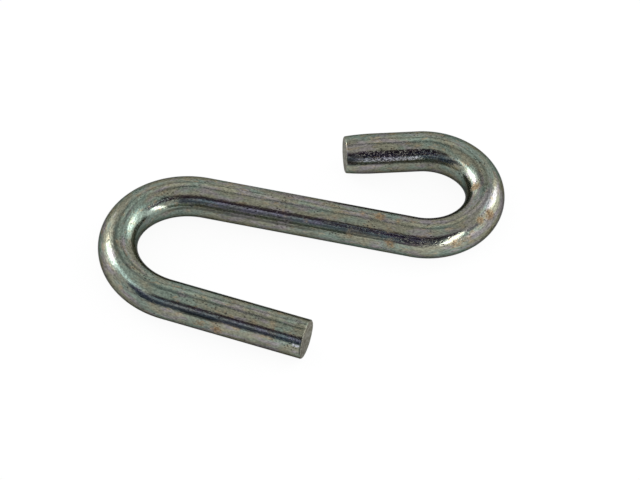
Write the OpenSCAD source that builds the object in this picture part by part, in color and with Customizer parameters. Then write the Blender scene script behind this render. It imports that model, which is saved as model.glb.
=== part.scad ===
// An S hook bent from one length of round steel bar, lying flat.
// The wide hook stays open and takes the load. The tight hook is closed past parallel,
// so that a ring or chain link threaded on it stays captive.

/* [Bar] */
// Diameter of the round bar
bar_d = 9.5; // [6:0.5:13]
// Rounding of the rims where the bar was cropped to length
rim_r = 0.5; // [0.2:0.1:1.2]

/* [Shank] */
// Straight length between the two bends
shank_l = 49.5; // [24:0.5:120]

/* [Wide hook] */
// Inside radius of the wide bend
wide_inner_r = 12.2; // [6:0.1:25]
// Turn of the wide bend, short of a half turn so that its mouth flares
wide_turn = 172.9; // [150:0.1:180]
// Straight length of the long arm, from the bend to its end face
long_arm_l = 34.5; // [12:0.5:60]

/* [Tight hook] */
// Inside radius of the tight bend
tight_inner_r = 9.2; // [5:0.1:20]
// Turn of the tight bend, past a half turn so that its mouth narrows
tight_turn = 198.2; // [180:0.1:215]
// Straight length of the short arm, from the bend to its end face
short_arm_l = 17.5; // [12:0.5:30]
// Length of the short arm's tip that the bending jaw drew in
drawn_tip_l = 7; // [3:0.5:11]
// Depth that the jaw drew the tip in by, at its end face
drawn_tip_in = 0.4; // [0.1:0.05:1]

/* [Hidden] */

// Facets of the bar's section, and of a full turn of a bend
$fn = 60;
// Steps along the crown of the drawn-in tip
crown_steps = 8;
// Further turn that each bend is made with, before it is cut square for its arm
trim_turn = 20;

// Zinc plate over the steel, dulled to an olive grey
zinc_grey = [0.46, 0.47, 0.42];

bar_r = bar_d / 2;
// Centreline radii of the two bends
wide_r = wide_inner_r + bar_r;
tight_r = tight_inner_r + bar_r;
// Slope of the long arm against the shank
flare = 180 - wide_turn;

// The drawn-in tip is crowned: its side is an arc that leaves the bar at a tangent
crown_r = (drawn_tip_l ^ 2 + drawn_tip_in ^ 2) / (2 * drawn_tip_in);
function crown_x(y) = bar_r - crown_r + sqrt(crown_r ^ 2 - y ^ 2);
// Height at which the crown goes over into the rim's round
crown_top = (drawn_tip_l - rim_r) * (1 + rim_r / crown_r);

// Edges of the box that holds the hook, measured from the middle of the shank's centreline
right_x = shank_l / 2 + tight_r + bar_r;
left_x = -shank_l / 2 - wide_r - bar_r;
far_y = 2 * tight_r + bar_r;
near_y = -wide_r * (1 + cos(flare)) - (long_arm_l - rim_r) * sin(flare)
    - (bar_r - rim_r) * cos(flare) - rim_r;

// Right half of a cropped end with its rounded rim, to revolve about the bar's axis
module rim_profile(half_w, length) {
    square([half_w - rim_r, length]);
    translate([half_w - rim_r, length - rim_r]) circle(rim_r);
}

// Right half of a straight length with a plain cropped end
module cropped_profile(length) {
    square([bar_r, length - rim_r]);
    rim_profile(bar_r, length);
}

// Right half of the drawn-in tip, whose crown ends in a cropped end
module drawn_profile() {
    heights = [for (i = [0:crown_steps]) crown_top * i / crown_steps];
    polygon([[0, 0], for (y = heights) [crown_x(y), y], [0, crown_top]]);
    rim_profile(crown_x(drawn_tip_l - rim_r), drawn_tip_l);
}

// Bar bent about the origin from the X axis on, cut square at the end of its turn
module bend(centre_r, turn) {
    reach = centre_r + bar_d;
    difference() {
        rotate_extrude(angle = turn + trim_turn) translate([centre_r, 0]) circle(bar_r);
        rotate(turn) translate([0, 0, -bar_d]) cube([reach, reach, 2 * bar_d]);
    }
}

// The straight shank, along the X axis
module shank() {
    translate([-shank_l / 2, 0, 0]) rotate([0, 90, 0]) cylinder(r = bar_r, h = shank_l);
}

// The long arm, from the origin along the Y axis
module long_arm() {
    rotate([-90, 0, 0]) rotate_extrude() cropped_profile(long_arm_l);
}

// The short arm, from the origin along the Y axis, with its tip drawn in
module short_arm() {
    plain_l = short_arm_l - drawn_tip_l;
    rotate([-90, 0, 0]) {
        cylinder(r = bar_r, h = plain_l);
        translate([0, 0, plain_l]) rotate_extrude() drawn_profile();
    }
}

// Wide bend and long arm: from the shank's left end towards -Y, and back to +X
module wide_hook() {
    translate([-shank_l / 2, -wide_r, 0]) rotate(90) {
        bend(wide_r, wide_turn);
        rotate(wide_turn) translate([wide_r, 0, 0]) long_arm();
    }
}

// Tight bend and short arm: from the shank's right end towards +Y, and back to -X
module tight_hook() {
    translate([shank_l / 2, tight_r, 0]) rotate(-90) {
        bend(tight_r, tight_turn);
        rotate(tight_turn) translate([tight_r, 0, 0]) short_arm();
    }
}

// The whole hook at rest on the plane Z = 0, with the origin under the middle of its box
module s_hook() {
    color(zinc_grey)
        translate([-(left_x + right_x) / 2, -(near_y + far_y) / 2, bar_r]) union() {
            shank();
            wide_hook();
            tight_hook();
        }
}

s_hook();
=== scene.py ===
"""The looks of an S hook, bent cold from one length of round steel bar and zinc plated.

The hook lies flat on a pale floor. Its bar is drawn straight, with its cropped ends, the marks
of its making, and some painted shade, painted reflections and a painted glint, and is then
bent to the CAD part's own centreline. So the plate's finish follows the bar round its two
bends, as if it had been laid on while the bar was straight.
"""

import logging
import math
from dataclasses import dataclass
from enum import Enum
from typing import Any, Iterable

import bmesh
import bpy
from mathutils import Matrix, Vector, noise


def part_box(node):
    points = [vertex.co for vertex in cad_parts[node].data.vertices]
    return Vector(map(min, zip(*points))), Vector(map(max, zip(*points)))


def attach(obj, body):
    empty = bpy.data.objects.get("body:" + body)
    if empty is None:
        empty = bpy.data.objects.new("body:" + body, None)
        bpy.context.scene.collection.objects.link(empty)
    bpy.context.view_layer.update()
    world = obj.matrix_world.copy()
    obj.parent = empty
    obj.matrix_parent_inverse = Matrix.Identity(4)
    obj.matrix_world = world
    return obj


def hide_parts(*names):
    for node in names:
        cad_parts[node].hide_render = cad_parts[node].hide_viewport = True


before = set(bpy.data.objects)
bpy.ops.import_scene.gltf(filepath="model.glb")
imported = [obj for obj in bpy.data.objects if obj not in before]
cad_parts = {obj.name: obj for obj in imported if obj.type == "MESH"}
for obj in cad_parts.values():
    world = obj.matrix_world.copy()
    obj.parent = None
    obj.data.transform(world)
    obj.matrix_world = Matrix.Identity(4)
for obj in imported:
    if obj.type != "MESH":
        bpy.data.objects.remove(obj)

LOG = logging.getLogger("s_hook")
MM = 0.001
NODE = "s_hook"
BODY = "root"
BAR_PLACE = "bar_place"
RUST_MASK = "rust_mask"
CROP_MASK = "crop_mask"
WHITE = (1.0, 1.0, 1.0, 1.0)
Colour = tuple[float, float, float]


def linear(red: float, green: float, blue: float) -> tuple[float, float, float, float]:
    """Turns a colour as a screen shows it into the linear values that shaders work in.

    Args:
        red: Red as displayed, from 0 to 1.
        green: Green as displayed, from 0 to 1.
        blue: Blue as displayed, from 0 to 1.

    Returns:
        The colour in linear light, with an alpha of 1.
    """
    def channel(value: float) -> float:
        """Gives one channel in linear light."""
        return value / 12.92 if value <= 0.04045 else ((value + 0.055) / 1.055) ** 2.4

    return channel(red), channel(green), channel(blue), 1.0


def smooth(low: float, high: float, value: float) -> float:
    """Rises smoothly from 0 at low to 1 at high.

    Args:
        low: Where the rise starts.
        high: Where the rise ends. It may be less than low.
        value: Where to look.

    Returns:
        The share of the rise, from 0 to 1.
    """
    share = min(1.0, max(0.0, (value - low) / (high - low)))
    return share * share * (3.0 - 2.0 * share)


class Op(Enum):
    """The Math node's operations that the finishes use."""

    ADD = "ADD"
    SUBTRACT = "SUBTRACT"
    MULTIPLY = "MULTIPLY"
    ARCSINE = "ARCSINE"
    ARCTAN2 = "ARCTAN2"


class Signal:
    """A shader socket that takes part in Python's arithmetic."""

    def __init__(self, graph: "Graph", socket: bpy.types.NodeSocket) -> None:
        """Holds the socket and the graph that it belongs to.

        Args:
            graph: The graph that new nodes are added to.
            socket: An output socket of that graph.
        """
        self.graph = graph
        self.socket = socket

    def __add__(self, other: "Signal | float") -> "Signal":
        """Adds."""
        return self.graph.math(Op.ADD, self, other)

    def __radd__(self, other: float) -> "Signal":
        """Adds, with the number first."""
        return self.graph.math(Op.ADD, other, self)

    def __sub__(self, other: "Signal | float") -> "Signal":
        """Subtracts."""
        return self.graph.math(Op.SUBTRACT, self, other)

    def __rsub__(self, other: float) -> "Signal":
        """Subtracts from a number."""
        return self.graph.math(Op.SUBTRACT, other, self)

    def __mul__(self, other: "Signal | float") -> "Signal":
        """Multiplies."""
        return self.graph.math(Op.MULTIPLY, self, other)

    def rise(self, low: float, high: float) -> "Signal":
        """Rises smoothly from 0 to 1.

        Args:
            low: The signal's value where the rise starts.
            high: Its value where the rise ends. It may be less than low.

        Returns:
            The share of the rise.
        """
        settings = {"interpolation_type": "SMOOTHSTEP", "data_type": "FLOAT"}
        inputs = {"Value": self, "From Min": low, "From Max": high}
        return self.graph.node("ShaderNodeMapRange", settings, inputs, "Result")

    def window(self, low: float, high: float, soft: float) -> "Signal":
        """Is 1 between low and high, and falls to 0 over soft at each edge."""
        return self.rise(low - soft, low + soft) * (1.0 - self.rise(high - soft, high + soft))

    def output(self, name: str) -> "Signal":
        """Gives another output of the same node."""
        return Signal(self.graph, self.graph.find(self.socket.node.outputs, name))


class Graph:
    """The node tree of one material or of the world."""

    def __init__(self, tree: bpy.types.NodeTree) -> None:
        """Empties the tree.

        Args:
            tree: The node tree to fill.
        """
        self.tree = tree
        tree.nodes.clear()

    def node(self, kind: str, settings: dict[str, Any] | None = None,
             inputs: dict[str, Any] | None = None, output: str | int = 0) -> Signal:
        """Adds one node of any type.

        Args:
            kind: The node's type.
            settings: Its properties, which are set first.
            inputs: Values, or signals to link, by each socket's name or identifier.
            output: The name, identifier or number of the output that is wanted.

        Returns:
            That output as a signal.
        """
        made = self.tree.nodes.new(kind)
        for name, value in (settings or {}).items():
            setattr(made, name, value)
        for name, value in (inputs or {}).items():
            socket = self.find(made.inputs, name)
            if isinstance(value, Signal):
                self.tree.links.new(value.socket, socket)
            else:
                socket.default_value = value
        if not made.outputs:
            return Signal(self, None)
        found = made.outputs[output] if isinstance(output, int) else self.find(made.outputs, output)
        return Signal(self, found)

    @staticmethod
    def find(sockets: Iterable[bpy.types.NodeSocket], name: str) -> bpy.types.NodeSocket:
        """Finds a socket that is in use by its identifier, or else by its name.

        Args:
            sockets: A node's inputs or outputs.
            name: The identifier or name.

        Returns:
            The socket.
        """
        usable = [socket for socket in sockets if socket.enabled]
        exact = [socket for socket in usable if socket.identifier == name]
        return (exact or [socket for socket in usable if socket.name == name])[0]

    def math(self, op: Op, *values: Signal | float) -> Signal:
        """Adds a Math node for one operation on signals and numbers."""
        inputs = {("Value", "Value_001")[i]: value for i, value in enumerate(values)}
        return self.node("ShaderNodeMath", {"operation": op.value}, inputs)

    def blend(self, share: Signal | float, first: Any, second: Any, how: str = "MIX") -> Signal:
        """Mixes two colours.

        Args:
            share: How much of the second colour shows.
            first: A colour, or a signal that carries one.
            second: A colour, or a signal that carries one.
            how: The Mix node's blend type.

        Returns:
            The mixed colour.
        """
        settings = {"data_type": "RGBA", "blend_type": how, "clamp_factor": True}
        inputs = {"Factor_Float": share, "A_Color": first, "B_Color": second}
        return self.node("ShaderNodeMix", settings, inputs, "Result_Color")

    def scaled(self, vector: Signal, along: float, across: float) -> Signal:
        """Scales the bar's own coordinates.

        Args:
            vector: The coordinates.
            along: The factor along the bar.
            across: The factor across it.

        Returns:
            The scaled coordinates.
        """
        settings = {"operation": "MULTIPLY"}
        inputs = {"Vector": vector, "Vector_001": (along, across, across)}
        return self.node("ShaderNodeVectorMath", settings, inputs, "Vector")

    def specks(self, vector: Signal, scale: float, size: float) -> Signal:
        """Scatters round specks, one in each Voronoi cell.

        Args:
            vector: Where they are read.
            scale: Cells per unit.
            size: A speck's radius, as a share of a cell.

        Returns:
            1 in the middle of a speck, and 0 outside it.
        """
        inputs = {"Vector": vector, "Scale": scale}
        distance = self.node("ShaderNodeTexVoronoi", {"feature": "F1"}, inputs, "Distance")
        return 1.0 - distance.rise(0.3 * size, size)


@dataclass(frozen=True)
class Grain:
    """A noise laid on the bar, which may be drawn out along it.

    Attributes:
        along: How much the bar's coordinates are scaled along it.
        across: How much they are scaled across it.
        scale: The noise's frequency on the scaled coordinates, which are in millimetres.
        detail: How many octaves it has.
        rough: How strong the finer octaves are.
    """

    along: float
    across: float
    scale: float
    detail: float
    rough: float

    def read(self, graph: Graph, place: Signal) -> Signal:
        """Adds the noise to a material.

        Args:
            graph: The material's graph.
            place: The bar's own coordinates, in millimetres.

        Returns:
            The noise's value, which is about 0.5 on average.
        """
        return graph.node("ShaderNodeTexNoise", {}, {
            "Vector": graph.scaled(place, self.along, self.across),
            "Scale": self.scale,
            "Detail": self.detail,
            "Roughness": self.rough,
        })


@dataclass(frozen=True)
class Mark:
    """A patch of the bar that carries a tool's mark, a darker line, painted shade, a painted
    reflection or a painted glint.

    Attributes:
        along: Where it begins and ends, in millimetres from the long arm's tip.
        around: Where it begins and ends, in degrees from the bar's top towards its left.
        soft: How far its ends fade in millimetres, and its sides in degrees.
        strength: How strong it is. At 1 it is full, and above 1 it also fills its speckles in.
    """

    along: tuple[float, float]
    around: tuple[float, float]
    soft: tuple[float, float]
    strength: float

    def share(self, along: Signal, around: Signal) -> Signal:
        """Gives how strong the mark is at each point.

        Args:
            along: The distance along the bar, in millimetres.
            around: The angle around the bar, in degrees.

        Returns:
            The mark's strength on it, and 0 away from it.
        """
        length = along.window(*self.along, self.soft[0])
        return length * around.window(*self.around, self.soft[1]) * self.strength


@dataclass(frozen=True)
class ZincPlate:
    """Zinc plate with a clear passivate, dulled to an olive grey, on cold drawn bar."""

    # Colours, as a screen shows them
    olive: Colour = (0.500, 0.500, 0.442)
    teal: Colour = (0.465, 0.515, 0.480)
    lavender: Colour = (0.520, 0.500, 0.510)
    tan: Colour = (0.560, 0.515, 0.435)
    pit_black: Colour = (0.150, 0.130, 0.120)
    # Dark of the tools' bites, which also paints a dark reflection on the wide bend
    grip_and_reflection_black: Colour = (0.240, 0.205, 0.260)
    # White of the jaw's scrapes, which also paints a glint by the long arm's tip
    scuff_and_glint_white: Colour = (0.670, 0.675, 0.710)
    # Dark of the darker lines, and of painted shade and dark reflections at the tips and on the
    # long arm
    shade_and_line_black: Colour = (0.220, 0.230, 0.210)
    rust_brown: Colour = (0.370, 0.285, 0.190)
    rust_tan: Colour = (0.540, 0.455, 0.340)
    crop_grey: Colour = (0.680, 0.670, 0.630)
    crop_brown: Colour = (0.470, 0.450, 0.390)
    edge_tint: Colour = (0.560, 0.560, 0.560)

    # Roughness of each surface, and how far the plate's own varies
    roughness: float = 0.125
    roughness_spread: float = 0.12
    rust_roughness: float = 0.55
    scuff_and_glint_roughness: float = 0.45
    crop_roughness: float = 0.32

    # How much each layer hides of what is under it, and how much metal rust, the jaw's scrapes and
    # the painted glint hide
    lavender_cover: float = 0.9
    tan_cover: float = 0.8
    grip_and_reflection_cover: float = 0.85
    pit_cover: float = 0.85
    rust_cover: float = 0.9
    crop_cover: float = 0.8
    dulling: float = 0.6

    # Heights and depths of the relief, in millimetres
    bump_height: float = 0.022
    line_height: float = 0.010
    torn_height: float = 0.22
    pit_depth: float = 0.030
    grip_and_reflection_depth: float = 0.025

    # Noises of the clouds, and how far the broad one favours teal over lavender
    broad_clouds: Grain = Grain(0.05, 0.10, 1.0, 1.0, 0.5)
    teal_clouds: Grain = Grain(0.15, 0.42, 1.0, 2.5, 0.45)
    lavender_clouds: Grain = Grain(0.18, 0.50, 1.2, 2.5, 0.45)
    tan_clouds: Grain = Grain(0.32, 0.60, 1.4, 3.0, 0.50)
    teal_favour: float = 0.4

    # Noises of the light and dark grain, each with its contrast
    crystals: tuple[Grain, float] = (Grain(0.60, 1.1, 2.8, 2.0, 0.7), 2.2)
    streaks: tuple[Grain, float] = (Grain(0.08, 1.5, 1.2, 4.0, 0.75), 1.0)
    shades: tuple[Grain, float] = (Grain(0.12, 0.30, 1.0, 2.0, 0.6), 0.5)

    # Noises of the surface and of what is laid on it
    wear: Grain = Grain(0.35, 0.9, 1.0, 3.0, 0.55)
    plate_bumps: Grain = Grain(0.8, 1.2, 2.0, 3.0, 0.65)
    draw_lines: Grain = Grain(0.06, 2.2, 1.0, 4.0, 0.65)
    torn_bumps: Grain = Grain(1.0, 1.0, 1.1, 4.0, 0.65)
    crop_blotches: Grain = Grain(1.0, 1.0, 1.0, 3.0, 0.6)
    grip_and_reflection_specks: Grain = Grain(1.0, 1.6, 1.9, 3.0, 0.7)
    scuff_and_glint_specks: Grain = Grain(0.8, 1.4, 2.0, 3.0, 0.7)
    rust_edges: Grain = Grain(0.9, 1.1, 1.3, 4.0, 0.7)
    rust_shades: Grain = Grain(1.0, 1.0, 2.2, 3.0, 0.6)
    rust_raggedness: float = 3.0

    # Pits, by how much they are drawn out, how many fit in a millimetre and how large each is
    pit_patches: Grain = Grain(0.16, 0.24, 1.0, 2.0, 0.5)
    pit_stretch: tuple[float, float] = (0.8, 1.0)
    pits_per_mm: float = 1.5
    pit_size: float = 0.34

    # Tools' marks, darker lines and painted shade, reflections and a glint, by their places on the
    # bar
    grips_and_painted_reflection: tuple[Mark, ...] = (
        Mark((177.5, 198.5), (37.0, 54.0), (2.0, 3.0), 1.0),
        Mark((130.5, 138.5), (-69.0, -44.0), (4.0, 3.0), 0.95),
        Mark((114.0, 132.0), (-53.0, -44.5), (3.0, 2.0), 0.9),
        # Painted dark reflection: the ragged end of the mirrored dark band, above the wide bend's
        # highlight
        Mark((68.0, 77.5), (-48.0, -41.0), (1.5, 2.5), 1.0),
    )
    scuffs_and_painted_glint: tuple[Mark, ...] = (
        Mark((183.5, 198.5), (56.5, 67.5), (2.0, 2.5), 0.95),
        # Painted glint: a bright patch by the long arm's tip
        Mark((0.5, 2.1), (64.0, 71.0), (0.25, 1.5), 1.6),
    )
    painted_shade_and_lines: tuple[Mark, ...] = (
        # Darker lines on the shank's front
        Mark((72.0, 114.0), (-83.0, -74.0), (6.0, 3.0), 0.75),
        Mark((118.0, 136.0), (-71.0, -65.0), (4.0, 2.5), 0.85),
        # Painted reflection: the mirrored dark band on the long arm, made broader in its middle
        Mark((20.5, 30.0), (59.0, 69.0), (2.0, 2.0), 0.9),
        # A darker line along the short arm's front, below the jaw's scrapes
        Mark((176.0, 199.0), (73.0, 78.0), (3.0, 2.5), 0.6),
        # Painted dark reflection over the last 1.3 mm of the short arm's tip
        Mark((199.0, 200.3), (36.0, 84.0), (0.4, 4.0), 0.4),
        # Painted shadow of the burr along the rim of the long arm's tip
        Mark((-0.2, 0.4), (35.0, 100.0), (0.15, 8.0), 0.8),
    )

    def build(self) -> bpy.types.Material:
        """Makes the material.

        Returns:
            The finished material, which reads the bar's own coordinates.
        """
        material = bpy.data.materials.new("zinc_plate")
        material.use_nodes = True
        graph = Graph(material.node_tree)
        place = graph.node("ShaderNodeAttribute", {"attribute_name": BAR_PLACE}, {}, "Vector")
        crop = graph.node("ShaderNodeAttribute", {"attribute_name": CROP_MASK}, {}, "Fac")
        whole = crop.rise(1.0, 0.4)
        # The tools' share also holds a painted dark reflection, and the scraped share a painted
        # glint
        grip_and_reflection = self.grip_and_reflection_share(graph, place) * whole
        scuff_and_glint = self.scuff_and_glint_share(graph, place) * whole
        rust = self.rust(graph, place)
        pits = self.pits(graph, place)
        colour = self.colour(graph, place)
        for share, layer in (
            # Darker lines, with painted shade and painted dark reflections
            (self.marked(graph, place, self.painted_shade_and_lines), linear(*self.shade_and_line_black)),
            # Tools' bites, with a painted dark reflection on the wide bend
            (grip_and_reflection * self.grip_and_reflection_cover, linear(*self.grip_and_reflection_black)),
            # Jaw scrapes, with a painted glint by the long arm's tip
            (scuff_and_glint, linear(*self.scuff_and_glint_white)),
            (pits * self.pit_cover, linear(*self.pit_black)),
            (rust, self.rust_colour(graph, place)),
            (crop * self.crop_cover, self.crop_colour(graph, place)),
        ):
            colour = graph.blend(share, colour, layer)
        colour = graph.blend(1.0, colour, self.grain(graph, place), "MULTIPLY")
        roughness = self.roughness + (self.wear.read(graph, place) - 0.5) * self.roughness_spread
        for share, rough in (
            (rust, self.rust_roughness),
            (scuff_and_glint, self.scuff_and_glint_roughness),
            (crop, self.crop_roughness),
        ):
            roughness = roughness + share * (rough - self.roughness)
        shader = graph.node("ShaderNodeBsdfPrincipled", {}, {
            "Base Color": colour,
            "Metallic": 1.0 - rust * self.dulling - scuff_and_glint * self.dulling,
            "Roughness": roughness,
            "Specular Tint": linear(*self.edge_tint),
            "Normal": self.relief(graph, place, pits, grip_and_reflection, crop),
        })
        graph.node("ShaderNodeOutputMaterial", {}, {"Surface": shader})
        return material

    def colour(self, graph: Graph, place: Signal) -> Signal:
        """Gives the plate's clouded colours.

        Args:
            graph: The material's graph.
            place: The bar's own coordinates, in millimetres.

        Returns:
            The plate's colour.
        """
        favour = self.broad_clouds.read(graph, place) * self.teal_favour
        teal = (self.teal_clouds.read(graph, place) + favour).rise(0.60, 0.84)
        lavender = (self.lavender_clouds.read(graph, place) - favour).rise(0.29, 0.49)
        tan = self.tan_clouds.read(graph, place).rise(0.54, 0.72)
        colour = graph.blend(teal, linear(*self.olive), linear(*self.teal))
        colour = graph.blend(lavender * self.lavender_cover, colour, linear(*self.lavender))
        return graph.blend(tan * self.tan_cover, colour, linear(*self.tan))

    def grain(self, graph: Graph, place: Signal) -> Signal:
        """Gives the light and dark grain: crystals in the plate, streaks along it and broad shades.

        Args:
            graph: The material's graph.
            place: The bar's own coordinates, in millimetres.

        Returns:
            A factor for the colour, about 1 on average.
        """
        factor = 1.0
        for grain, contrast in (self.crystals, self.streaks, self.shades):
            factor = factor + (grain.read(graph, place) - 0.5) * contrast
        return factor

    def pits(self, graph: Graph, place: Signal) -> Signal:
        """Scatters pits, thickly in some patches and thinly in others.

        Args:
            graph: The material's graph.
            place: The bar's own coordinates, in millimetres.

        Returns:
            1 in a pit, and 0 around it.
        """
        patches = self.pit_patches.read(graph, place)
        drawn_out = graph.scaled(place, *self.pit_stretch)
        return graph.specks(drawn_out, self.pits_per_mm, self.pit_size) * patches.rise(0.50, 0.60)

    def marked(self, graph: Graph, place: Signal, marks: Iterable[Mark]) -> Signal:
        """Gives the share of the surface under some marks.

        Args:
            graph: The material's graph.
            place: The bar's own coordinates, in millimetres.
            marks: The marks.

        Returns:
            The marks' strength, added up where they overlap.
        """
        along = graph.node("ShaderNodeSeparateXYZ", {}, {"Vector": place}, "X")
        around = graph.math(Op.ARCTAN2, along.output("Y"), along.output("Z")) * math.degrees(1.0)
        shares = [mark.share(along, around) for mark in marks]
        return sum(shares[1:], shares[0])

    def grip_and_reflection_share(self, graph: Graph, place: Signal) -> Signal:
        """Gives the dark, speckled share where tools held the bar, and of a painted dark
        reflection.

        Args:
            graph: The material's graph.
            place: The bar's own coordinates, in millimetres.

        Returns:
            The share.
        """
        mask = self.marked(graph, place, self.grips_and_painted_reflection)
        specks = self.grip_and_reflection_specks.read(graph, place)
        return mask * (specks + mask * 0.12).rise(0.44, 0.60)

    def scuff_and_glint_share(self, graph: Graph, place: Signal) -> Signal:
        """Gives the bright, speckled share that the bending jaw scraped, with a painted glint."""
        specks = self.scuff_and_glint_specks.read(graph, place)
        return self.marked(graph, place, self.scuffs_and_painted_glint) * specks.rise(0.38, 0.60)

    def crop_colour(self, graph: Graph, place: Signal) -> Signal:
        """Gives the blotched colours of the sheared end faces."""
        brown = self.crop_blotches.read(graph, place).rise(0.40, 0.62)
        return graph.blend(brown, linear(*self.crop_grey), linear(*self.crop_brown))

    def rust(self, graph: Graph, place: Signal) -> Signal:
        """Gives the share of rust, from the spots laid on the bar and broken up by noise.

        Args:
            graph: The material's graph.
            place: The bar's own coordinates, in millimetres.

        Returns:
            The share.
        """
        mask = graph.node("ShaderNodeAttribute", {"attribute_name": RUST_MASK}, {}, "Fac")
        ragged = (self.rust_edges.read(graph, place) - 0.5) * self.rust_raggedness
        return (mask * (1.0 + ragged)).rise(0.15, 0.95) * self.rust_cover

    def rust_colour(self, graph: Graph, place: Signal) -> Signal:
        """Gives rust that goes from tan to brown."""
        brown = self.rust_shades.read(graph, place).rise(0.38, 0.64)
        return graph.blend(brown, linear(*self.rust_tan), linear(*self.rust_brown))

    def relief(self, graph: Graph, place: Signal, pits: Signal, grip_and_reflection: Signal,
               crop: Signal) -> Signal:
        """Bumps the surface with the plate's grain, draw lines, torn ends, pits and tools' bites.

        Args:
            graph: The material's graph.
            place: The bar's own coordinates, in millimetres.
            pits: The share of each pit.
            grip_and_reflection: How much the bending tools bit the surface; it also dents a painted
                dark reflection.
            crop: 1 on the cropped end faces.

        Returns:
            The bumped normal.
        """
        bumps = self.plate_bumps.read(graph, place) * self.bump_height
        lines = self.draw_lines.read(graph, place) * self.line_height
        torn = self.torn_bumps.read(graph, place) * crop * self.torn_height
        height = bumps + lines + torn - pits * self.pit_depth - grip_and_reflection * self.grip_and_reflection_depth
        inputs = {"Height": height, "Distance": MM, "Strength": 1.0}
        return graph.node("ShaderNodeBump", {}, inputs, "Normal")


@dataclass(frozen=True)
class Stretch:
    """A straight or bent stretch of the bar's centreline, which lies level.

    Attributes:
        begins: How far along the bar it begins, in metres.
        length: Its length along the centreline.
        start: Where it begins.
        heading: The direction it begins in, as an angle from +X towards +Y.
        curve: One over its radius: above 0 to the left, below 0 to the right, 0 where straight.
    """

    begins: float
    length: float
    start: Vector
    heading: float
    curve: float = 0.0

    def place(self, along: float) -> Matrix:
        """Gives the move from the straight bar, which lies along +X, to the hook.

        Args:
            along: How far along the bar, which may be past the stretch's ends.

        Returns:
            The matrix for what lies across the bar there.
        """
        run = along - self.begins
        turned = run * self.curve
        if self.curve:
            local = Vector((math.sin(turned), 1.0 - math.cos(turned), 0.0)) / self.curve
        else:
            local = Vector((run, 0.0, 0.0))
        point = self.start + Matrix.Rotation(self.heading, 3, "Z") @ local
        turn = Matrix.Rotation(self.heading + turned, 4, "Z")
        return Matrix.Translation(point) @ turn @ Matrix.Translation((-along, 0.0, 0.0))


@dataclass(frozen=True)
class RustSpot:
    """A spot of rust on the straight bar.

    Attributes:
        along: Its distance from the long arm's tip, in millimetres.
        around: Its angle from the bar's top, in degrees, to the left of the way along it.
        radius: Its radius in millimetres.
        strength: How dense it is, up to 1.
    """

    along: float
    around: float
    radius: float
    strength: float


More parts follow.
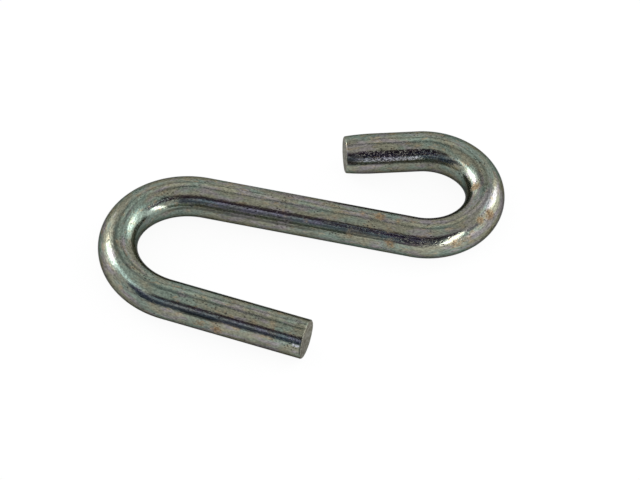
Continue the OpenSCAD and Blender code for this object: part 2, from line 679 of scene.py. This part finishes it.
@dataclass
class Hook:
    """The hook's bar, with the sizes of the CAD part.

    The bar is drawn straight along +X with its finish laid on, and then bent. Its length starts
    at the long arm's tip, and angles around it start at its top, towards the left of that way.
    """

    # The bar and its centreline, as in the CAD part, but with sharper rims
    diameter: float = 9.5 * MM
    rim: float = 0.35 * MM
    long_arm: float = 34.5 * MM
    wide_radius: float = 16.95 * MM
    wide_turn: float = math.radians(172.9)
    shank: float = 49.5 * MM
    tight_radius: float = 13.95 * MM
    tight_turn: float = math.radians(198.2)
    short_arm: float = 17.5 * MM
    drawn_tip: float = 7.0 * MM
    drawn_in: float = 0.4 * MM

    # How finely the mesh is divided
    facets: int = 144
    step: float = 0.45 * MM
    rim_segments: int = 6
    face_rings: int = 10

    # How far the bends' sides are thinned, and the skin and waves that lie inside the CAD part
    thinned: float = 0.11 * MM
    skin: float = 0.021 * MM
    waviness: float = 0.007 * MM
    wave_length: float = 7.0 * MM

    # The cropped ends: how far a side rolls over at each tip, and their torn faces
    roll_over: tuple[float, float] = (0.16 * MM, 0.05 * MM)
    torn_depth: float = 0.05 * MM
    torn_per_mm: float = 0.9

    # The flat that the bending jaw pressed, from before the short arm's start
    jaw_around: float = math.radians(50.0)
    jaw_depth: float = 0.03 * MM
    jaw_from: float = 4.0 * MM
    jaw_length: float = 21.0 * MM
    jaw_fades: tuple[float, float] = (3.0 * MM, 2.0 * MM)

    # Rust, by its places on the bar
    rust: tuple[RustSpot, ...] = (
        RustSpot(127.0, 3.0, 2.4, 0.9),
        RustSpot(122.9, 0.0, 1.6, 0.6),
        RustSpot(131.5, -3.0, 1.8, 0.6),
        RustSpot(113.3, 12.0, 1.5, 0.5),
        RustSpot(129.7, -36.0, 1.8, 0.5),
        RustSpot(110.5, -58.0, 1.3, 0.5),
        RustSpot(120.5, -60.0, 1.3, 0.5),
        RustSpot(130.3, -78.0, 2.6, 0.7),
        RustSpot(120.7, -75.0, 1.9, 0.5),
        RustSpot(143.7, -69.0, 2.6, 0.7),
        RustSpot(149.9, -36.0, 1.7, 0.9),
        RustSpot(152.5, -45.0, 2.2, 1.0),
        RustSpot(159.0, 33.0, 2.6, 0.9),
        RustSpot(194.9, -3.0, 2.4, 0.5),
        RustSpot(20.5, 93.0, 2.6, 0.8),
        RustSpot(24.4, 82.0, 2.0, 0.7),
    )

    def __post_init__(self) -> None:
        """Lays the centreline out inside the CAD part's own box."""
        self.radius = self.diameter / 2
        _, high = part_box(NODE)
        shank_right = Vector((
            high.x - self.tight_radius - self.radius,
            high.y - 2 * self.tight_radius - self.radius,
            self.radius,
        ))
        self.stretches = self.lay_out()
        _, self.wide_bend, self.shank_run, self.tight_bend, self.short_run = self.stretches
        turned = -self.tight_bend.heading
        self.to_frame = Matrix.Translation(shank_right) @ Matrix.Rotation(turned, 4, "Z")
        self.to_frame = self.to_frame @ Matrix.Translation(-self.tight_bend.start)
        self.length = self.short_run.begins + self.short_arm

    def lay_out(self) -> list[Stretch]:
        """Joins the arms, the bends and the shank end to end, from the long arm's tip.

        Returns:
            The five stretches, with the bar's start at the origin along +X.
        """
        parts = (
            (self.long_arm, 0.0),
            (self.wide_radius * self.wide_turn, -1.0 / self.wide_radius),
            (self.shank, 0.0),
            (self.tight_radius * self.tight_turn, 1.0 / self.tight_radius),
            (self.short_arm, 0.0),
        )
        stretches, begins, start, heading = [], 0.0, Vector(), 0.0
        for length, curve in parts:
            stretch = Stretch(begins, length, start, heading, curve)
            stretches.append(stretch)
            begins += length
            end = stretch.place(begins)
            start = end @ Vector((begins, 0.0, 0.0))
            heading += length * curve
        return stretches

    def shank_middle(self) -> Vector:
        """Finds the middle of the shank, in the part's frame."""
        along = self.tight_bend.begins - self.shank / 2
        return self.to_frame @ self.shank_run.place(along) @ Vector((along, 0.0, 0.0))

    def stretch_at(self, along: float) -> Stretch:
        """Finds the stretch that holds a point, or the nearest one past either tip."""
        passed = [part for part in self.stretches if part.begins <= along]
        return passed[-1] if passed else self.stretches[0]

    def draw_bar(self, bm: bmesh.types.BMesh) -> None:
        """Draws the straight bar, rounds the rims of its cropped ends and rings it finely.

        Args:
            bm: The mesh to fill.
        """
        lay = Matrix.Translation((self.length / 2, 0.0, 0.0)) @ Matrix.Rotation(math.pi / 2, 4, "Y")
        bmesh.ops.create_cone(
            bm, cap_ends=True, segments=self.facets, radius1=self.radius, radius2=self.radius,
            depth=self.length, matrix=lay)
        rims = [edge for face in self.end_faces(bm) for edge in face.edges]
        bmesh.ops.bevel(
            bm, geom=rims, offset=self.rim, offset_type="OFFSET", affect="EDGES",
            segments=self.rim_segments, profile=0.5, material=-1, clamp_overlap=True)
        width = (self.radius - self.rim) / (self.face_rings + 1)
        for face in self.end_faces(bm):
            for _ in range(self.face_rings):
                bmesh.ops.inset_region(bm, faces=[face], thickness=width, use_even_offset=True)
            bmesh.ops.poke(bm, faces=[face])
        sides = [edge for edge in bm.edges if edge.calc_length() > self.length / 2]
        cuts = math.ceil(self.length / self.step)
        bmesh.ops.subdivide_edges(bm, edges=sides, cuts=cuts, use_grid_fill=True)
        bmesh.ops.recalc_face_normals(bm, faces=bm.faces)

    @staticmethod
    def end_faces(bm: bmesh.types.BMesh) -> list[bmesh.types.BMFace]:
        """Finds the round faces that close the bar's two ends."""
        return [face for face in bm.faces if len(face.verts) > 4]

    def shape(self, along: float, around: float) -> float:
        """Gives how far the surface lies inside a perfect round bar.

        Args:
            along: The distance from the long arm's tip.
            around: The angle from the top, towards the left.

        Returns:
            The depth, which is 0 or more.
        """
        wave = noise.noise(Vector((
            along / self.wave_length, 1.5 * math.cos(around), 1.5 * math.sin(around))))
        depth = self.skin + self.waviness * (1.0 + wave)
        for bend in (self.wide_bend, self.tight_bend):
            share = (along - bend.begins) / bend.length
            if 0.0 < share < 1.0:
                depth += self.thinned * math.sin(math.pi * share) ** 2 * math.sin(around) ** 2
        drawn = along - (self.length - self.drawn_tip)
        if drawn > 0.0:
            depth += self.drawn_in * (drawn / self.drawn_tip) ** 2
        return depth + self.bitten(along, around)

    def in_jaw(self, along: float) -> float:
        """Gives how fully the bending jaw held the bar.

        Args:
            along: The distance from the long arm's tip.

        Returns:
            1 along the stretch that it held, less at that stretch's ends, and 0 elsewhere.
        """
        run = along - self.short_run.begins + self.jaw_from
        end = self.jaw_length
        rise, fall = self.jaw_fades
        return smooth(0.0, rise, run) * smooth(end, end - fall, run)

    def bitten(self, along: float, around: float) -> float:
        """Gives the depth of the flat that the bending jaw pressed into the short arm.

        Args:
            along: The distance from the long arm's tip.
            around: The angle from the top, towards the left.

        Returns:
            The depth, which is 0 away from the flat.
        """
        away = math.cos(around - self.jaw_around)
        flat = self.radius - self.jaw_depth * self.in_jaw(along)
        return max(0.0, self.radius - flat / away) if away > 0.5 else 0.0

    def rusted(self, along: float, around: float) -> float:
        """Gives how much rust a point has from the spots near it.

        Args:
            along: The distance from the long arm's tip.
            around: The angle from the top, towards the left.

        Returns:
            The strength of the strongest spot there.
        """
        most = 0.0
        for spot in self.rust:
            run = along / MM - spot.along
            if abs(run) < spot.radius:
                turned = math.remainder(around - math.radians(spot.around), math.tau)
                away = math.hypot(run, turned * self.radius / MM) / spot.radius
                most = max(most, spot.strength * smooth(1.0, 0.1, away))
        return most

    def finish_bar(self, bm: bmesh.types.BMesh) -> None:
        """Lays the finish's coordinates and masks on the straight bar, and shapes its surface.

        Args:
            bm: The bar's mesh.
        """
        place = bm.verts.layers.float_vector.new(BAR_PLACE)
        rust = bm.verts.layers.float.new(RUST_MASK)
        crop = bm.verts.layers.float.new(CROP_MASK)
        for vert in bm.verts:
            along, left, up = vert.co
            around = math.atan2(left, up)
            out = math.hypot(left, up) / self.radius
            vert[place] = vert.co / MM
            vert[rust] = self.rusted(along, around) * out
            reach = min(along, self.length - along)
            vert[crop] = smooth(0.3 * self.rim, 0.05 * self.rim, reach)
            share = 1.0 - self.shape(along, around) / self.radius
            vert.co.y *= share
            vert.co.z *= share
            self.crop(vert, around, out)

    def crop(self, vert: bmesh.types.BMVert, around: float, out: float) -> None:
        """Rolls one side of a cropped end over, and leaves its face a little uneven.

        Args:
            vert: A vertex of the straight bar.
            around: Its angle from the top.
            out: Its distance from the axis, as a share of the bar's radius.
        """
        for tip, inward, roll_over in zip((0.0, self.length), (1.0, -1.0), self.roll_over):
            reach = abs(vert.co.x - tip)
            if reach > self.rim:
                continue
            rolled = smooth(0.2, 1.0, math.cos(around)) * smooth(0.55, 1.0, out)
            torn = 0.5 + 0.5 * noise.noise(vert.co * (self.torn_per_mm / MM))
            depth = roll_over * rolled + self.torn_depth * torn * smooth(1.0, 0.9, out)
            vert.co.x += inward * depth * smooth(self.rim, 0.0, reach)

    def bend(self, bm: bmesh.types.BMesh) -> None:
        """Bends the straight bar to the hook's centreline, and lays it in the part's frame.

        Args:
            bm: The bar's mesh.
        """
        for vert in bm.verts:
            move = self.to_frame @ self.stretch_at(vert.co.x).place(vert.co.x)
            vert.co = move @ vert.co

    def build(self, finish: ZincPlate) -> bpy.types.Object:
        """Makes the hook.

        Args:
            finish: Its finish.

        Returns:
            The finished object, which rides on the CAD body in place of the plain solid.
        """
        bm = bmesh.new()
        self.draw_bar(bm)
        self.finish_bar(bm)
        self.bend(bm)
        mesh = bpy.data.meshes.new("bent_bar")
        bm.to_mesh(mesh)
        bm.free()
        mesh.shade_smooth()
        mesh.materials.append(finish.build())
        hook = bpy.data.objects.new("bent_bar", mesh)
        bpy.context.scene.collection.objects.link(hook)
        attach(hook, BODY)
        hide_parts(NODE)
        return hook


@dataclass(frozen=True)
class Lamp:
    """A soft lamp, by where it stands as seen from the hook.

    Attributes:
        name: What the lamp is called.
        azimuth: Degrees from the front (-Y) towards the right (+X).
        elevation: Degrees above the floor.
        width: How wide it looks, in degrees.
        height: How high it looks, in degrees.
        radiance: How bright it looks, where the white surroundings are 1.
        colour: The colour of its light.
        distance: How far from the hook's middle it stands, in metres.
        roll: How far its right end is turned up, in degrees.
    """

    name: str
    azimuth: float
    elevation: float
    width: float
    height: float
    radiance: float
    colour: Colour = (1.0, 1.0, 1.0)
    distance: float = 1.2
    roll: float = 0.0

    def build(self) -> None:
        """Sets the lamp up."""
        light = bpy.data.lights.new(self.name, "AREA")
        light.shape = "ELLIPSE"
        light.size = 2 * self.distance * math.tan(math.radians(self.width / 2))
        light.size_y = 2 * self.distance * math.tan(math.radians(self.height / 2))
        light.energy = self.radiance * math.pi * light.size * light.size_y * math.pi / 4
        light.color = self.colour
        azimuth, elevation = math.radians(self.azimuth), math.radians(self.elevation)
        towards = Vector((
            math.sin(azimuth) * math.cos(elevation),
            -math.cos(azimuth) * math.cos(elevation),
            math.sin(elevation),
        ))
        lamp = bpy.data.objects.new(self.name, light)
        bpy.context.scene.collection.objects.link(lamp)
        turn = towards.to_track_quat("Z", "Y").to_matrix().to_4x4()
        turn = turn @ Matrix.Rotation(math.radians(self.roll), 4, "Z")
        lamp.matrix_world = Matrix.Translation(towards * self.distance) @ turn
        lamp.visible_camera = False


@dataclass(frozen=True)
class Card:
    """A card or a line in the white surroundings that only metal shows, by mirroring it.

    Attributes:
        azimuth: The middle, in degrees from the front (-Y) towards the right (+X).
        reach: How far it spreads to either side of its middle, in degrees.
        elevation: Where it begins and ends above the floor, in degrees.
        soft: How far its ends and its upper and lower edges fade, in degrees.
        colour: Its colour, where the surroundings are white.
        slope: How much it rises towards the right, in degrees per degree.
    """

    azimuth: float
    reach: float
    elevation: tuple[float, float]
    soft: tuple[float, float]
    colour: Colour
    slope: float = 0.0

    def share(self, graph: Graph, x: Signal, y: Signal, elevation: Signal) -> Signal:
        """Gives how much of the card is seen in each direction.

        Args:
            graph: The world's graph.
            x: The direction's part along X.
            y: The direction's part along Y.
            elevation: The direction's elevation in degrees.

        Returns:
            1 on the card, and 0 away from it.
        """
        sine, cosine = math.sin(math.radians(self.azimuth)), math.cos(math.radians(self.azimuth))
        ahead = x * sine - y * cosine
        aside = x * cosine + y * sine
        turned = graph.math(Op.ARCTAN2, aside, ahead) * math.degrees(1.0)
        across = turned.window(-self.reach, self.reach, self.soft[0])
        if self.slope:
            elevation = elevation - turned * self.slope
        return across * elevation.window(*self.elevation, self.soft[1])


@dataclass(frozen=True)
class Studio:
    """The white room around the hook: its surroundings, floor and lamps.

    Attributes:
        floor_radius: How far the floor reaches, in metres.
        floor_sides: How many straight edges the floor has.
        floor_albedo: The floor's own colour.
        floor_shown_white: How much of the floor the camera sees as plain white.
        floor_mirrored_white: How much of it the metal sees as plain white.
        cards: The cards in the surroundings. Each one covers those before it.
        lamps: The lamps.
    """

    floor_radius: float = 6.0
    floor_sides: int = 64
    floor_albedo: Colour = (0.95, 0.95, 0.95)
    floor_shown_white: float = 0.93
    floor_mirrored_white: float = 0.20
    cards: tuple[Card, ...] = (
        Card(0.0, 190.0, (41.0, 95.0), (5.0, 3.0), (0.925, 0.925, 0.910)),
        Card(-140.0, 13.0, (42.0, 72.0), (8.0, 4.0), (0.880, 0.880, 0.880)),
        Card(-176.0, 14.0, (45.0, 68.0), (6.0, 3.0), (1.060, 1.060, 1.040)),
        Card(166.0, 5.0, (45.0, 76.0), (3.0, 2.0), (0.720, 0.740, 0.740)),
        Card(-143.0, 8.0, (40.0, 76.0), (4.0, 2.0), (0.700, 0.705, 0.700)),
        Card(-156.0, 28.0, (41.0, 46.0), (5.0, 1.2), (0.560, 0.575, 0.570)),
        Card(-165.0, 60.0, (71.5, 77.5), (12.0, 1.0), (0.480, 0.520, 0.515)),
        Card(-50.0, 18.0, (15.0, 32.0), (6.0, 2.0), (0.450, 0.470, 0.550), -0.3),
        Card(-30.0, 20.0, (2.0, 37.0), (8.0, 1.5), (0.320, 0.365, 0.470)),
        Card(14.0, 24.0, (7.0, 37.0), (6.0, 1.5), (0.420, 0.450, 0.540)),
        Card(88.0, 16.0, (28.0, 38.0), (5.0, 1.5), (0.620, 0.600, 0.650)),
        Card(-8.0, 26.0, (24.5, 33.5), (6.0, 1.0), (0.860, 0.890, 1.000)),
        Card(-47.0, 24.0, (32.0, 39.0), (6.0, 1.5), (0.860, 0.920, 1.000), -0.26),
        Card(-28.0, 13.0, (37.0, 50.0), (6.0, 1.0), (0.285, 0.230, 0.305)),
        Card(27.0, 47.0, (35.0, 47.0), (6.0, 1.0), (0.280, 0.230, 0.310)),
        Card(27.0, 47.0, (47.0, 54.0), (6.0, 1.0), (0.400, 0.360, 0.380)),
    )
    lamps: tuple[Lamp, ...] = (
        Lamp("left_lamp", -107.0, 24.5, 29.0, 22.0, 5.0, (1.0, 0.99, 0.98)),
        Lamp("left_glow", -112.0, 21.0, 54.0, 44.0, 1.1),
        Lamp("left_fill", -80.0, 37.0, 32.0, 13.0, 1.4, (0.85, 0.95, 1.0)),
        Lamp("left_streak", -58.0, 43.0, 26.0, 7.0, 0.9, (0.90, 0.95, 1.0)),
        Lamp("right_lamp", 134.0, 26.0, 25.0, 23.0, 3.0, (0.93, 0.99, 1.0)),
        Lamp("right_glow", 128.0, 20.0, 48.0, 44.0, 1.0, (0.97, 1.0, 0.96)),
        Lamp("right_fill", 132.0, 45.0, 34.0, 11.0, 0.9, (0.72, 0.95, 1.0)),
        Lamp("front_right_lamp", 84.0, 10.0, 32.0, 26.0, 0.9, (1.0, 0.98, 1.0)),
        Lamp("near_lamp", 65.0, 18.5, 42.0, 10.0, 7.0, distance=0.095, roll=38.0),
    )

    def build(self) -> None:
        """Sets up the surroundings, the floor and the lamps."""
        self.surround()
        self.floor()
        for lamp in self.lamps:
            lamp.build()
        LOG.info("studio with %d lamps", len(self.lamps))

    def surround(self) -> None:
        """Makes the world white all round, with the cards laid over it that only metal shows."""
        world = bpy.data.worlds.new("white_room")
        world.use_nodes = True
        bpy.context.scene.world = world
        graph = Graph(world.node_tree)
        towards = graph.node("ShaderNodeTexCoord", {}, {}, "Generated")
        x = graph.node("ShaderNodeSeparateXYZ", {}, {"Vector": towards}, "X")
        y = x.output("Y")
        elevation = graph.math(Op.ARCSINE, x.output("Z")) * math.degrees(1.0)
        mirrored = WHITE
        for card in self.cards:
            share = card.share(graph, x, y, elevation)
            mirrored = graph.blend(share, mirrored, linear(*card.colour))
        glossy = graph.node("ShaderNodeLightPath", {}, {}, "Is Glossy Ray")
        colour = graph.blend(glossy, WHITE, mirrored)
        background = graph.node("ShaderNodeBackground", {}, {"Color": colour, "Strength": 1.0})
        graph.node("ShaderNodeOutputWorld", {}, {"Surface": background})

    def floor(self) -> None:
        """Lays a pale floor that can be looked through from below."""
        bm = bmesh.new()
        bmesh.ops.create_circle(
            bm, cap_ends=True, segments=self.floor_sides, radius=self.floor_radius)
        mesh = bpy.data.meshes.new("floor")
        bm.to_mesh(mesh)
        bm.free()
        floor = bpy.data.objects.new("floor", mesh)
        bpy.context.scene.collection.objects.link(floor)
        material = bpy.data.materials.new("white_paper")
        material.use_nodes = True
        mesh.materials.append(material)
        graph = Graph(material.node_tree)
        paper = graph.node("ShaderNodeBsdfDiffuse", {}, {"Color": linear(*self.floor_albedo)})
        white = graph.node("ShaderNodeEmission", {}, {"Color": WHITE})
        clear = graph.node("ShaderNodeBsdfTransparent", {}, {})
        camera = graph.node("ShaderNodeLightPath", {}, {}, "Is Camera Ray")
        mirrored = camera.output("Is Glossy Ray") + camera.output("Is Transmission Ray")
        below = graph.node("ShaderNodeNewGeometry", {}, {}, "Backfacing")
        top = graph.node("ShaderNodeMixShader", {}, {
            "Fac": camera * self.floor_shown_white + mirrored * self.floor_mirrored_white,
            "Shader": paper,
            "Shader_001": white,
        })
        both = graph.node("ShaderNodeMixShader", {}, {
            "Fac": below, "Shader": top, "Shader_001": clear})
        graph.node("ShaderNodeOutputMaterial", {}, {"Surface": both})


@dataclass(frozen=True)
class Camera:
    """A long lens from the front, looking down on the hook.

    Attributes:
        azimuth: The angle from the front (-Y) that it stands at.
        elevation: The angle above the floor that it stands at.
        roll: How far it is turned about its line of sight.
        lens: Its focal length in millimetres.
        distance: How far from its target it stands, in metres.
        right: How far it is moved to its right, in metres.
        up: How far it is moved upwards in its picture, in metres.
        clip_end: How far it sees, in metres.
    """

    azimuth: float = math.radians(-8.878)
    elevation: float = math.radians(46.873)
    roll: float = math.radians(-4.146)
    lens: float = 763.9
    distance: float = 3.1667
    right: float = 2.439 * MM
    up: float = -5.268 * MM
    clip_end: float = 30.0

    def build(self, target: Vector) -> None:
        """Sets the camera up.

        Args:
            target: The middle of the shank.
        """
        data = bpy.data.cameras.new("camera")
        data.lens = self.lens
        data.clip_end = self.clip_end
        camera = bpy.data.objects.new("camera", data)
        bpy.context.scene.collection.objects.link(camera)
        turn = Matrix.Rotation(-self.azimuth, 4, "Z")
        turn = turn @ Matrix.Rotation(math.pi / 2 - self.elevation, 4, "X")
        turn = turn @ Matrix.Rotation(-self.roll, 4, "Z")
        offset = Matrix.Translation((self.right, self.up, self.distance))
        camera.matrix_world = Matrix.Translation(target) @ turn @ offset
        bpy.context.scene.camera = camera


def main() -> None:
    """Builds the camera, the hook and the studio."""
    bpy.context.scene.view_settings.view_transform = "Standard"
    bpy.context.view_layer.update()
    hook = Hook()
    Camera().build(hook.shank_middle())
    bar = hook.build(ZincPlate())
    LOG.info("%s: %d faces, %.1f mm of bar", bar.name, len(bar.data.polygons), hook.length / MM)
    Studio().build()


if __name__ == "__main__":
    logging.basicConfig(level=logging.INFO, format="%(name)s: %(message)s")
    main()
